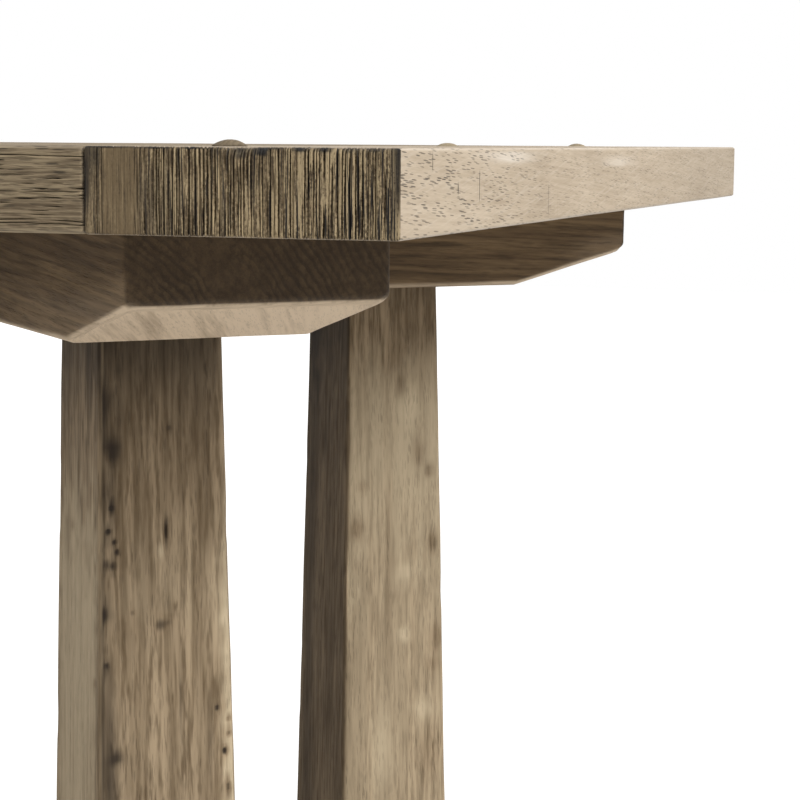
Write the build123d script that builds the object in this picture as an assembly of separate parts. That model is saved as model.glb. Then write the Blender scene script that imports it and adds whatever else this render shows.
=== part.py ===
from build123d import *
import math
import os

# Side table in weathered oak, square in plan.
# Five boards run along X between two breadboard ends that run along Y.
# Two bearers cross under the top on its diagonals, halved over each other.
# Four legs stand square to the bearers and pass into them on wedged through tenons.
# +Z is up, the front faces -Y and the origin is on the floor under the centre. Millimetres.

# Whole table
table_side = 610.0
table_height = 560.0
top_thickness = 28.0

# Boards of the top, as shares of the table's depth from front to back
board_width_shares = (0.185, 0.205, 0.22, 0.20, 0.19)
seam_ease = 0.4
arris_radius = 1.5

# Breadboard ends, with a stopped groove for the boards' tongues
breadboard_width = 105.0
corner_radius = 2.5
tongue_thickness = 9.0
tongue_length = 14.0
tongue_stop = 22.0
tenon_length = 58.0
tenon_width = 60.0
end_clearance = 1.0
joint_clearance = 0.1

# Boards that have a long tenon, and so a peg, at each end: front, middle and back
tenoned_boards = (0, 2, 4)

# Loose tongues between the boards
spline_thickness = 6.0
spline_width = 24.0
spline_stop = 50.0
spline_arris = 0.8

# Domed pegs through the breadboard tenons
peg_diameter = 12.0
peg_dome = 2.2
peg_inset = 26.0
peg_floor = 4.0
peg_lead = 1.0
peg_clearance = 0.1
peg_slot_travel = 4.0

# Crossed bearers with long bevels under their ends
bearer_width = 100.0
bearer_height = 44.0
bearer_end_height = 27.0
bearer_end_inset = 74.0
bevel_run = 67.0
bearer_arris = 3.0
bearer_angle = 45.0
lap_clearance = 0.2

# Legs, wider at the foot than at the shoulder
leg_inset = 163.0
leg_shoulder_width = 51.0
leg_foot_width = 70.0
leg_arris = 2.5
foot_chamfer = 2.0
leg_tenon_along = 30.0
leg_tenon_across = 38.0
leg_tenon_gap = 0.5

# Wedges that spread the leg tenons along the bearer's grain
wedge_depth = 32.0
wedge_butt = 5.0
wedge_tip = 1.0

# Screws, with their washers, that hold the top down and let it move along Y
top_screw_radius = 2.25
top_screw_head_radius = 4.5
top_screw_head_height = 3.2
top_screw_grip = 22.0
top_screw_cover = 1.0
top_screw_travel = 4.0
washer_radius = 8.0
washer_thickness = 1.5
counterbore_play = 2.0

# Screws through the halved joint
lap_screw_radius = 2.25
lap_screw_head_radius = 4.5
lap_screw_head_height = 2.6
lap_screw_length = 36.0
lap_screw_spacing = 44.0

# Glides under the feet, each held by one screw
glide_radius = 14.0
glide_height = 4.0
glide_chamfer = 1.2
glide_recess = 1.2
glide_screw_radius = 1.75
glide_screw_head_radius = 3.5
glide_screw_head_height = 2.0
glide_screw_length = 20.0

# All screws
screw_tip_length = 5.0
screw_play = 0.05
cut_overrun = 1.0

# Levels and reaches worked out from the sizes above
half_side = table_side / 2
board_half = half_side - breadboard_width
top_underside = table_height - top_thickness
top_middle = table_height - top_thickness / 2
bearer_underside = top_underside - bearer_height
bearer_end_bottom = top_underside - bearer_end_height
bearer_reach = (half_side - bearer_end_inset) / math.cos(math.radians(bearer_angle))
leg_reach = (half_side - leg_inset) / math.cos(math.radians(bearer_angle))
screw_ceiling = top_underside - top_screw_grip
top_screw_seat = screw_ceiling - washer_thickness - top_screw_head_height
top_screw_bite = (top_thickness - spline_thickness) / 2 - top_screw_cover
peg_reach = board_half + peg_inset


def board_edges():
    """Y of the front edge of each board, and of the last board's back edge."""
    edges = [-half_side]
    for share in board_width_shares:
        edges.append(edges[-1] + share * table_side)
    return edges


def block(low, high):
    """A box between two opposite corners."""
    size = [b - a for a, b in zip(low, high)]
    centre = [(a + b) / 2 for a, b in zip(low, high)]
    return Pos(*centre) * Box(*size)


def side_prism(points, width):
    """An outline in X and Z, thickened evenly either side of the XZ plane."""
    outline = make_face(Plane.XZ * Polyline(*points, close=True))
    return extrude(outline, amount=width / 2, both=True)


def turned(points):
    """An outline of radius and height, turned about the Z axis."""
    return revolve(make_face(Plane.XZ * Polyline(*points, close=True)), Axis.Z)


def tongue_span(index):
    """Y limits of a board's end tongue, held back from the table's front and back."""
    edges = board_edges()
    low = max(edges[index], -half_side + tongue_stop)
    high = min(edges[index + 1], half_side - tongue_stop)
    return low, high


def tenon_centres():
    """Y of the middle of each long tenon."""
    edges = board_edges()
    return [(edges[i] + edges[i + 1]) / 2 for i in tenoned_boards]


def flat_key(side, reach, y_low, y_high, clearance, end_gap):
    """The space that a tongue or tenon fills past the boards' end, with room round it."""
    x_in = side * board_half
    x_out = side * (board_half + reach + end_gap)
    half_thick = tongue_thickness / 2 + clearance
    low = (min(x_in, x_out), y_low - clearance, top_middle - half_thick)
    high = (max(x_in, x_out), y_high + clearance, top_middle + half_thick)
    return block(low, high)


def spline_bar(y, clearance):
    """The loose tongue on the seam at y, or its groove when it has a clearance."""
    half_long = board_half - spline_stop + clearance
    half_wide = spline_width / 2 + clearance
    half_thick = spline_thickness / 2 + clearance
    low = (-half_long, y - half_wide, top_middle - half_thick)
    high = (half_long, y + half_wide, top_middle + half_thick)
    return block(low, high)


def peg_bore(x, y, travel):
    """The hole for one peg, round, or slotted along Y by the travel."""
    radius = peg_diameter / 2 + peg_clearance
    foot = top_underside + peg_floor
    depth = top_thickness - peg_floor + cut_overrun
    if travel > 0:
        shape = Rot(0, 0, 90) * SlotCenterToCenter(travel, 2 * radius)
    else:
        shape = Circle(radius)
    return Pos(x, y, foot) * extrude(shape, amount=depth)


def screw_shank(radius, head_height, length, play):
    """Points of a screw's shank and tip, from under its head to the axis."""
    return [
        (radius + play, head_height + play),
        (radius + play, length - screw_tip_length),
        (0, length + play),
    ]


def top_screw(play):
    """The pan-headed screw that holds the top down, head at z = 0, or its hole with play."""
    rim = top_screw_head_radius + play
    length = top_screw_head_height + washer_thickness + top_screw_grip + top_screw_bite
    head = [(0, -play), (rim, -play), (rim, top_screw_head_height + play)]
    return turned(head + screw_shank(top_screw_radius, top_screw_head_height, length, play))


def lap_screw(play):
    """The countersunk screw through the halved joint, or its hole with play."""
    head = [(0, -play), (lap_screw_head_radius + play, -play)]
    return turned(head + screw_shank(lap_screw_radius, lap_screw_head_height, lap_screw_length, play))


def glide_screw(play):
    """The countersunk screw that holds a glide to its foot, or its hole with play."""
    head = [(0, -play), (glide_screw_head_radius + play, -play)]
    return turned(
        head + screw_shank(glide_screw_radius, glide_screw_head_height, glide_screw_length, play)
    )


def bearer_turns():
    """The turn of each bearer about Z."""
    return {"bearer_lower": -bearer_angle, "bearer_upper": bearer_angle}


def along_bearer(turn, reach):
    """X and Y of the point on a bearer's middle line at this reach from the centre."""
    angle = math.radians(turn)
    return reach * math.cos(angle), reach * math.sin(angle)


def screw_reaches():
    """Reach of each top screw along a bearer: between lap and leg, and between leg and bevel."""
    inner = (bearer_width / 2 + leg_reach - leg_shoulder_width / 2) / 2
    outer = (leg_reach + leg_shoulder_width / 2 + bearer_reach - bevel_run) / 2
    return (-outer, -inner, inner, outer)


def top_screw_places():
    """X and Y of every screw that holds the top down."""
    turns = bearer_turns().values()
    return [along_bearer(turn, reach) for turn in turns for reach in screw_reaches()]


def lap_screw_places():
    """X and Y of the screws through the halved joint."""
    return [(-lap_screw_spacing / 2, 0), (lap_screw_spacing / 2, 0)]


def leg_places():
    """X, Y and turn of every leg's axis, by the leg's name."""
    turns = bearer_turns()
    falling, rising = turns["bearer_lower"], turns["bearer_upper"]
    return {
        "front_left": (*along_bearer(rising, -leg_reach), rising),
        "front_right": (*along_bearer(falling, leg_reach), falling),
        "back_left": (*along_bearer(falling, -leg_reach), falling),
        "back_right": (*along_bearer(rising, leg_reach), rising),
    }


def make_board(index):
    """One board of the top, with a tongue at each end and a groove in each inner edge."""
    edges = board_edges()
    front, back = edges[index], edges[index + 1]
    board = block((-board_half, front, top_underside), (board_half, back, table_height))

    # Long arrises: rounded at the table's front and back, barely eased at the seams
    last = len(board_width_shares) - 1
    for face, at_outside in ((0, index == 0), (-1, index == last)):
        arrises = board.edges().filter_by(Axis.X).group_by(Axis.Y)[face]
        if at_outside:
            board = fillet(arrises, arris_radius)
        else:
            board = chamfer(arrises.sort_by(Axis.Z)[-1], seam_ease)
    for end in (0, -1):
        board = chamfer(board.faces().sort_by(Axis.X)[end].edges().sort_by(Axis.Z)[-1], seam_ease)

    # Grooves for the loose tongues, with the screws' pilot holes
    for seam in edges[1:-1]:
        board -= spline_bar(seam, joint_clearance)
    for x, y in top_screw_places():
        board -= Pos(x, y, top_screw_seat) * top_screw(screw_play)

    # Tongues, and long tenons with their peg holes, which are slotted but in the middle board
    for side in (-1, 1):
        board += flat_key(side, tongue_length, *tongue_span(index), 0, 0)
        if index in tenoned_boards:
            centre = (front + back) / 2
            low, high = centre - tenon_width / 2, centre + tenon_width / 2
            board += flat_key(side, tenon_length, low, high, 0, 0)
            travel = 0 if index == tenoned_boards[1] else peg_slot_travel
            board -= peg_bore(side * peg_reach, centre, travel)
    return board


def make_breadboard(side):
    """One breadboard end, on the left for side -1 and on the right for side 1."""
    x_in, x_out = side * board_half, side * half_side
    low = (min(x_in, x_out), -half_side, top_underside)
    high = (max(x_in, x_out), half_side, table_height)
    board = block(low, high)
    outer, inner = (-1, 0) if side > 0 else (0, -1)
    board = fillet(board.edges().filter_by(Axis.Z).group_by(Axis.X)[outer], corner_radius)
    seam = board.faces().sort_by(Axis.X)[inner]
    board = fillet(board.faces().filter_by(Axis.Z).edges() - seam.edges(), arris_radius)
    seam = board.faces().sort_by(Axis.X)[inner]
    board = chamfer(seam.edges().filter_by(Axis.Y).sort_by(Axis.Z)[-1], seam_ease)

    # Stopped groove, mortises and peg holes
    low, high = -half_side + tongue_stop, half_side - tongue_stop
    board -= flat_key(side, tongue_length, low, high, joint_clearance, end_clearance)
    for centre in tenon_centres():
        low, high = centre - tenon_width / 2, centre + tenon_width / 2
        board -= flat_key(side, tenon_length, low - end_clearance, high + end_clearance,
                          joint_clearance, end_clearance)
        board -= peg_bore(side * peg_reach, centre, 0)
    return board


def make_spline(y):
    """One loose tongue between two boards."""
    bar = spline_bar(y, 0)
    return chamfer(bar.edges().filter_by(Axis.X), spline_arris)


def make_peg(x, y):
    """One domed peg, standing proud of the breadboard."""
    radius = peg_diameter / 2
    foot = top_underside + peg_floor
    dome_radius = (radius**2 + peg_dome**2) / (2 * peg_dome)
    side_line = Polyline(
        (0, table_height + peg_dome),
        (0, foot),
        (radius - peg_lead, foot),
        (radius, foot + peg_lead),
        (radius, table_height),
    )
    dome_turn = math.asin(radius / dome_radius) / 2
    dome_centre = table_height + peg_dome - dome_radius
    dome_mid = (dome_radius * math.sin(dome_turn), dome_centre + dome_radius * math.cos(dome_turn))
    dome = ThreePointArc((radius, table_height), dome_mid, (0, table_height + peg_dome))
    return Pos(x, y, 0) * revolve(make_face(Plane.XZ * (side_line + dome)), Axis.Z)


def make_bearer(name):
    """One bearer, bevelled under both ends, halved, mortised and counterbored."""
    turn = bearer_turns()[name]
    outline = (
        (-bearer_reach, top_underside),
        (bearer_reach, top_underside),
        (bearer_reach, bearer_end_bottom),
        (bearer_reach - bevel_run, bearer_underside),
        (-bearer_reach + bevel_run, bearer_underside),
        (-bearer_reach, bearer_end_bottom),
    )
    bearer = side_prism(outline, bearer_width)
    top_rim = bearer.faces().sort_by(Axis.Z)[-1].edges()
    bearer = fillet(bearer.edges() - top_rim, bearer_arris)

    # Half of the lap, taken from the top of the lower bearer and the bottom of the upper
    half_gap = bearer_width / 2 + lap_clearance
    lap_level = top_underside - bearer_height / 2
    if name == "bearer_lower":
        lap_low, lap_high = lap_level, top_underside + cut_overrun
    else:
        lap_low, lap_high = bearer_underside - cut_overrun, lap_level
    crossing = block((-bearer_reach, -half_gap, lap_low), (bearer_reach, half_gap, lap_high))
    bearer -= Rot(0, 0, -2 * turn) * crossing

    # Through mortises for the leg tenons
    half_along = leg_tenon_along / 2 + joint_clearance
    half_across = leg_tenon_across / 2 + joint_clearance
    for x in (-leg_reach, leg_reach):
        low = (x - half_along, -half_across, bearer_underside - cut_overrun)
        high = (x + half_along, half_across, top_underside + cut_overrun)
        bearer -= block(low, high)

    # Counterbores, and slots that let the boards move along Y
    bore = Circle(washer_radius + counterbore_play)
    slot_width = 2 * (top_screw_radius + screw_play)
    slot = Rot(0, 0, 90 - turn) * SlotCenterToCenter(top_screw_travel, slot_width)
    bore_depth = screw_ceiling - bearer_underside + cut_overrun
    for x in screw_reaches():
        bearer -= Pos(x, 0, screw_ceiling) * extrude(bore, amount=-bore_depth)
        bearer -= Pos(x, 0, screw_ceiling) * extrude(slot, amount=top_screw_grip + cut_overrun)

    bearer = Rot(0, 0, turn) * bearer
    for x, y in lap_screw_places():
        bearer -= Pos(x, y, bearer_underside) * lap_screw(screw_play)
    return bearer


def wedge_outline():
    """Outline in X and Z of a tenon's wedge, and of the kerf it is driven into."""
    top = top_underside - leg_tenon_gap
    return (
        (-wedge_butt / 2, top),
        (wedge_butt / 2, top),
        (wedge_tip / 2, top - wedge_depth),
        (-wedge_tip / 2, top - wedge_depth),
    )


def make_leg():
    """One tapered leg with its kerfed through tenon, on the Z axis."""
    foot = Pos(0, 0, glide_height) * Rectangle(leg_foot_width, leg_foot_width)
    shoulder = Pos(0, 0, bearer_underside) * Rectangle(leg_shoulder_width, leg_shoulder_width)
    leg = loft([foot, shoulder])
    leg = fillet(leg.edges().group_by(Axis.Z)[1], leg_arris)
    leg = chamfer(leg.faces().sort_by(Axis.Z)[0].edges(), foot_chamfer)
    low = (-leg_tenon_along / 2, -leg_tenon_across / 2, bearer_underside)
    high = (leg_tenon_along / 2, leg_tenon_across / 2, top_underside - leg_tenon_gap)
    leg += block(low, high)
    leg -= make_wedge()
    return leg - Pos(0, 0, glide_recess) * glide_screw(screw_play)


def make_wedge():
    """One wedge, driven down into the tenon of a leg on the Z axis."""
    return side_prism(wedge_outline(), leg_tenon_across)


def make_washer():
    """A plain washer with its upper face at z = 0."""
    ring = Circle(washer_radius) - Circle(top_screw_radius + screw_play)
    return extrude(ring, amount=-washer_thickness)


def make_glide():
    """A round glide on the floor, with a countersunk hole."""
    glide = Pos(0, 0, glide_height / 2) * Cylinder(glide_radius, glide_height)
    glide = chamfer(glide.edges().sort_by(Axis.Z)[0], glide_chamfer)
    glide -= Pos(0, 0, glide_recess) * glide_screw(screw_play)
    well = Circle(glide_screw_head_radius + screw_play)
    return glide - extrude(well, amount=glide_recess)


def all_parts():
    """Every piece of the table, by the name of its node."""
    parts = {}
    for index in range(len(board_width_shares)):
        parts[f"top_board_{index + 1}"] = make_board(index)
    for index, seam in enumerate(board_edges()[1:-1]):
        parts[f"loose_tongue_{index + 1}"] = make_spline(seam)
    for name, side in (("left", -1), ("right", 1)):
        parts[f"breadboard_{name}"] = make_breadboard(side)
        for row, y in zip(("front", "middle", "back"), tenon_centres()):
            parts[f"peg_{row}_{name}"] = make_peg(side * peg_reach, y)
    for name in bearer_turns():
        parts[name] = make_bearer(name)
    for name, (x, y, turn) in leg_places().items():
        place = Pos(x, y, 0) * Rot(0, 0, turn)
        parts[f"leg_{name}"] = place * make_leg()
        parts[f"wedge_{name}"] = place * make_wedge()
        parts[f"glide_{name}"] = place * make_glide()

    # Like screws and washers share a node
    screws = [Pos(x, y, top_screw_seat) * top_screw(0) for x, y in top_screw_places()]
    washers = [Pos(x, y, screw_ceiling) * make_washer() for x, y in top_screw_places()]
    laps = [Pos(x, y, bearer_underside) * lap_screw(0) for x, y in lap_screw_places()]
    feet = [Pos(x, y, glide_recess) * glide_screw(0) for x, y, turn in leg_places().values()]
    parts["top_screws"] = Compound(children=screws)
    parts["top_washers"] = Compound(children=washers)
    parts["lap_screws"] = Compound(children=laps)
    parts["glide_screws"] = Compound(children=feet)
    return parts


os.makedirs("parts", exist_ok=True)
for node, shape in all_parts().items():
    export_step(shape, f"parts/{node}.step")
    print(node, round(shape.volume / 1000, 2), "cm3")
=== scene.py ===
# %% [markdown]
# # A weathered oak side table
# A square top of five boards sits between two breadboard ends, on two bearers that
# cross and are halved into each other, and on four tapering legs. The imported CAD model
# gives every place and size. This notebook gives the timber its grain, wear and colour.

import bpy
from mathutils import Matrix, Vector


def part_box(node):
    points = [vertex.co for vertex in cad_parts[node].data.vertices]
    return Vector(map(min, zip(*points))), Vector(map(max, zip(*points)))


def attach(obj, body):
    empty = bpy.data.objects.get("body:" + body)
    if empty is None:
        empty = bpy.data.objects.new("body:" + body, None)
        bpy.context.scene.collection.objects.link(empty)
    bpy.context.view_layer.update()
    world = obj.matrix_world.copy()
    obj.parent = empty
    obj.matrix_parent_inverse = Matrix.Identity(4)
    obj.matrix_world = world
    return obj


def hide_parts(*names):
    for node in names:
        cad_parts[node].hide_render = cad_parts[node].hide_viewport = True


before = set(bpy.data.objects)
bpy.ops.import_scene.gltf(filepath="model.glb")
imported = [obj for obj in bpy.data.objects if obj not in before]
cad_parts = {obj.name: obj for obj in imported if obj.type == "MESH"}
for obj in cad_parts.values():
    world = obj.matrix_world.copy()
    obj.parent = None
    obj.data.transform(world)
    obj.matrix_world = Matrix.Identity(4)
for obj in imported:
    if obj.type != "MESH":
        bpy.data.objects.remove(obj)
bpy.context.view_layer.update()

# %% Tools and units
import math
from collections import namedtuple

import bpy
import numpy as np
from mathutils import Matrix, Vector

MM = 0.001

# %% [markdown]
# ## The view
# The camera stands a little right of the front right corner, just above the top, with a
# long lens. Its place was fitted to the edges of the table's top, bearers and legs.

# %% Camera
CAMERA_PLACE = (0.50020, -0.89480, 0.56170)
YAW, PITCH, ROLL = (math.radians(angle) for angle in (18.291, 7.086, 0.382))
FOCAL_PIXELS, PICTURE_PIXELS, SENSOR = 2076.9, 800, 36

bpy.ops.object.camera_add(location=CAMERA_PLACE)
camera = bpy.context.object
camera.data.sensor_width = SENSOR
camera.data.lens = SENSOR * FOCAL_PIXELS / PICTURE_PIXELS
turn = (Matrix.Rotation(YAW, 3, "Z") @ Matrix.Rotation(math.pi / 2 - PITCH, 3, "X")
        @ Matrix.Rotation(ROLL, 3, "Z"))
camera.rotation_euler = turn.to_euler()
bpy.context.scene.camera = camera
bpy.context.scene.view_settings.view_transform = "Standard"
print("lens", round(camera.data.lens, 2))

# %% [markdown]
# ## Shader maths
# A Math node is hard to read in a long chain, so one class wraps a socket. Adding or
# multiplying two of them adds the node, and other nodes come from `node`.


# %% A socket that can be added and multiplied
class Wire:
    def __init__(self, tree, socket):
        self.tree, self.socket = tree, socket

    def node(self, kind, settings=None, values=None, output=0):
        return add_node(self.tree, kind, settings, values, output)

    def maths(self, operation, *others, first=None):
        values = [self if first is None else first, *others]
        return self.node("Math", {"operation": operation}, dict(enumerate(values)))

    def __add__(self, other): return self.maths("ADD", other)
    def __sub__(self, other): return self.maths("SUBTRACT", other)
    def __mul__(self, other): return self.maths("MULTIPLY", other)
    def __truediv__(self, other): return self.maths("DIVIDE", other)
    def __pow__(self, other): return self.maths("POWER", other)
    def __rsub__(self, other): return self.maths("SUBTRACT", self, first=other)
    __radd__, __rmul__ = __add__, __mul__

    def between(self, low, high):
        """0 below low, 1 above high, and a smooth step between."""
        return self.node("MapRange", {"interpolation_type": "SMOOTHSTEP"},
                         {"Value": self, "From Min": low, "From Max": high})

    def scaled(self, x, y, z):
        """A vector stretched along each axis."""
        return self.node("VectorMath", {"operation": "MULTIPLY"}, {0: self, 1: (x, y, z)})

    def noise(self, x, y, z, detail=2.0, rough=0.5, twist=0.0):
        """Cloudy noise with that many bumps a metre along each axis."""
        return self.node("TexNoise", None, {
            "Vector": self.scaled(x, y, z), "Scale": 1.0, "Detail": detail,
            "Roughness": rough, "Distortion": twist})


# %% Adding any node
def add_node(tree, kind, settings=None, values=None, output=0):
    made = tree.nodes.new("ShaderNode" + kind)
    for name, value in (settings or {}).items():
        setattr(made, name, value)
    for name, value in (values or {}).items():
        if isinstance(name, int):
            socket = made.inputs[name]
        else:
            socket = next(s for s in made.inputs if name in (s.identifier, s.name))
        if isinstance(value, Wire):
            tree.links.new(value.socket, socket)
        else:
            socket.default_value = value
    found = made.outputs[output] if isinstance(output, int) else next(
        s for s in made.outputs if output in (s.identifier, s.name))
    return Wire(tree, found)


def blend(under, over, share):
    """The colour `under`, covered by `over` where share is 1."""
    tree = next(w.tree for w in (under, over, share) if isinstance(w, Wire))
    return add_node(tree, "Mix", {"data_type": "RGBA"}, {
        "Factor_Float": share, "A_Color": under, "B_Color": over}, "Result_Color")


def layered(colour, *coats):
    """The colour under its coats, each a colour and the share of the surface it covers."""
    for over, share in coats:
        colour = blend(colour, over, share)
    return colour


def tone(red, green, blue):
    """A colour as a picture gives it, 0 to 255, made linear for the shader."""
    linear = [((c / 255 + 0.055) / 1.055) ** 2.4 if c > 10 else c / 255 / 12.92
              for c in (red, green, blue)]
    return (*linear, 1.0)


# %% [markdown]
# ## Floor, room and lamps
# The real table stands in a white studio. The floor is a pale sheet that keeps the
# shadow and glows a little for the camera alone. The room is white to the camera and in
# reflections, so that the background is white without more light on the timber.


# %% Floor
FLOOR_SIZE, CAMERA_GLOW = 14, 0.5
WHITE = tone(255, 255, 255)


def pick_nothing():
    if bpy.context.object and bpy.context.object.mode != "OBJECT":
        bpy.ops.object.mode_set(mode="OBJECT")
    bpy.ops.object.select_all(action="DESELECT")


def pick(piece):
    """Leaves one object selected and active."""
    pick_nothing()
    piece.select_set(True)
    bpy.context.view_layer.objects.active = piece


pick_nothing()
bpy.ops.mesh.primitive_plane_add(size=FLOOR_SIZE)
floor = bpy.context.object
floor.name = "studio_floor"
paper = bpy.data.materials.new("studio_paper")
paper.use_nodes = True
paper.node_tree.nodes.clear()
seen = add_node(paper.node_tree, "LightPath", output="Is Camera Ray")
sheet = seen.node("BsdfDiffuse", None, {"Color": tone(232, 231, 229)})
glow = seen.node("Emission", None, {"Color": WHITE, "Strength": seen * CAMERA_GLOW})
both = seen.node("AddShader", None, {0: sheet, 1: glow})
out = paper.node_tree.nodes.new("ShaderNodeOutputMaterial")
paper.node_tree.links.new(both.socket, out.inputs["Surface"])
floor.data.materials.append(paper)
print(floor.name, "is", FLOOR_SIZE, "m wide")

# %% Room
ROOM_LIGHT = 0.24
room = bpy.data.worlds.new("studio_room")
bpy.context.scene.world = room
room.use_nodes = True
room.node_tree.nodes.clear()
ray = room.node_tree.nodes.new("ShaderNodeLightPath")
straight, mirrored, through = (Wire(room.node_tree, ray.outputs[name]) for name in (
    "Is Camera Ray", "Is Glossy Ray", "Is Transmission Ray"))
white = straight.maths("MAXIMUM", mirrored).maths("MAXIMUM", through)
fill = white.node("Background", None, {
    "Color": WHITE, "Strength": white * (1 - ROOM_LIGHT) + ROOM_LIGHT})
out = room.node_tree.nodes.new("ShaderNodeOutputWorld")
room.node_tree.links.new(fill.socket, out.inputs["Surface"])
print(room.name, "lights the table at", ROOM_LIGHT)


# %% Lamps
def soft_sun(name, direction, spread, level):
    """A wide sun from a direction, so that floor and table get the same light. At level 1
    a surface that faces it renders as it is written, because its energy is pi."""
    bpy.ops.object.light_add(type="SUN", location=[2 * part for part in direction])
    lamp = bpy.context.object
    lamp.name = name
    lamp.data.energy, lamp.data.angle = level * math.pi, math.radians(spread)
    lamp.rotation_euler = Vector(direction).to_track_quat("Z", "Y").to_euler()


soft_sun("window_right", (0.70, -0.16, 0.70), spread=34, level=0.92)
soft_sun("front_fill", (-0.06, -0.84, 0.54), spread=40, level=0.14)
print("lamps:", [o.name for o in bpy.data.objects if o.type == "LIGHT"])

# %% [markdown]
# ## Noise for the plane and the rasp
# Weathering is uneven everywhere, so the tools below need a smooth random number at any
# place. Value noise gives each corner of a lattice a fixed random number and slides
# between them. It is seeded by its place alone, so every run gives the same table.


# %% Value noise
PRIMES = (73856093, 19349663, 83492791)
WORD, FIRST_MIX, LAST_MIX = 0xFFFFFFFF, 0x2C1B3C6D, 0x297A2D39
HALF_OF_24_BITS = 8388607.5


def noise(*axes, seed=0):
    """Smooth noise from -1 to 1 at each place. An axis may be an array or a number."""
    axes = np.broadcast_arrays(*axes)
    cells = [np.floor(axis).astype(np.int64) for axis in axes]
    parts = [axis - cell for axis, cell in zip(axes, cells)]
    parts = [part * part * (3 - 2 * part) for part in parts]
    total = 0
    for corner in np.ndindex(*(2,) * len(axes)):
        mixed = np.full(axes[0].shape, seed * 40503 + 12345, np.int64)
        share = 1.0
        for cell, part, side, prime in zip(cells, parts, corner, PRIMES):
            mixed = (mixed ^ ((cell + side) * prime)) & WORD
            mixed = ((mixed ^ (mixed >> 15)) * FIRST_MIX) & WORD
            share = share * (part if side else 1 - part)
        mixed = ((mixed ^ (mixed >> 12)) * LAST_MIX) & WORD
        total = total + share * ((mixed >> 8) / HALF_OF_24_BITS - 1)
    return total


def step(value, low, high):
    """0 below low, 1 above high, and a smooth step between."""
    part = np.clip((value - low) / (high - low), 0, 1)
    return part * part * (3 - 2 * part)


# %% [markdown]
# ## Sawing a blank
# A weathered surface needs many small faces, but not the same everywhere: across the
# grain a furrow is half a millimetre wide, and along it nothing changes for a centimetre.
# Each timber starts as a cube, and its edges along one axis are subdivided at a time,
# which gives a grid like a saw cut. The lines then move to where the furrows run.

# %% Rulings across a timber
ARRIS_MARKS = np.array((0, 0.3, 0.65, 1.05, 1.5, 2.1, 3.0, 4.3)) * MM
MOST_SLICES = 100


def two_rounds(slices):
    """Two numbers whose product is slices, each as many as one subdivide can cut, or None."""
    found = [a for a in range(1, MOST_SLICES + 1)
             if slices % a == 0 and slices // a <= MOST_SLICES]
    return (found[-1], slices // found[-1]) if found else None


def ruled(half, inner, extra=()):
    """Lines from -half to half: close ones at both arrises, `inner` even gaps between, and
    the extra lines. Lines are added in the widest gaps until two rounds can saw them."""
    rim = half - ARRIS_MARKS
    lines = np.concatenate([-rim, rim[::-1]])
    if np.isscalar(inner):
        inner = np.linspace(-rim[-1], rim[-1], inner + 1)[1:-1]
    lines = np.unique(np.concatenate([lines, inner, extra]))
    while two_rounds(len(lines) - 1) is None:
        gap = np.diff(lines).argmax()
        lines = np.insert(lines, gap + 1, lines[gap:gap + 2].mean())
    return lines


# %% Sawing by edit-mode subdivision
RUNS_ALONG = 1e-5    # metres: an edge across the axis has less reach along it than this


def places_of(piece):
    places = np.empty(len(piece.data.vertices) * 3)
    piece.data.vertices.foreach_get("co", places)
    return places.reshape(-1, 3)


def move_to(piece, places):
    piece.data.vertices.foreach_set("co", places.ravel())
    piece.data.update()


def pick_edges_along(piece, axis):
    mesh, places = piece.data, places_of(piece)
    ends = np.empty(len(mesh.edges) * 2, int)
    mesh.edges.foreach_get("vertices", ends)
    reach = np.abs(places[ends[0::2]] - places[ends[1::2]])[:, axis]
    mesh.polygons.foreach_set("select", np.zeros(len(mesh.polygons), bool))
    mesh.vertices.foreach_set("select", np.zeros(len(mesh.vertices), bool))
    mesh.edges.foreach_set("select", reach > RUNS_ALONG)


def sawn_blank(node, half, *rulings):
    """A cube of those half sizes, its edges sawn at the rulings along x, y and z."""
    pick_nothing()
    bpy.context.tool_settings.mesh_select_mode = (False, True, False)
    bpy.ops.mesh.primitive_cube_add(size=2)
    blank = bpy.context.object
    blank.name = node + "_timber"
    bpy.ops.transform.resize(value=half)
    bpy.ops.object.transform_apply(location=True, rotation=True, scale=True)
    for axis, lines in enumerate(rulings):
        for slices in two_rounds(len(lines) - 1):
            if slices > 1:
                pick_edges_along(blank, axis)
                bpy.ops.object.mode_set(mode="EDIT")
                bpy.ops.mesh.subdivide(number_cuts=slices - 1)
                bpy.ops.object.mode_set(mode="OBJECT")
        places = places_of(blank)
        even = np.linspace(-half[axis], half[axis], len(lines))
        places[:, axis] = np.interp(places[:, axis], even, lines)
        move_to(blank, places)
    return blank


# %% [markdown]
# ## Furrows
# Years of weather eat the soft early wood and leave ridges. A furrow has a centre line, a
# width and a depth, and it fades in and out along its run. Four lines of the saw grid
# follow each one, two at its rims and two at its floor, so that it stays crisp. One more
# follows the crown of each ridge, and two its flanks where the ridge is rounded.

# %% Planning furrows
CRACK_WIDTH, CRACK_DEPTH, CRACK_CLEAR = 0.4 * MM, 2.6 * MM, 1.0 * MM


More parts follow.
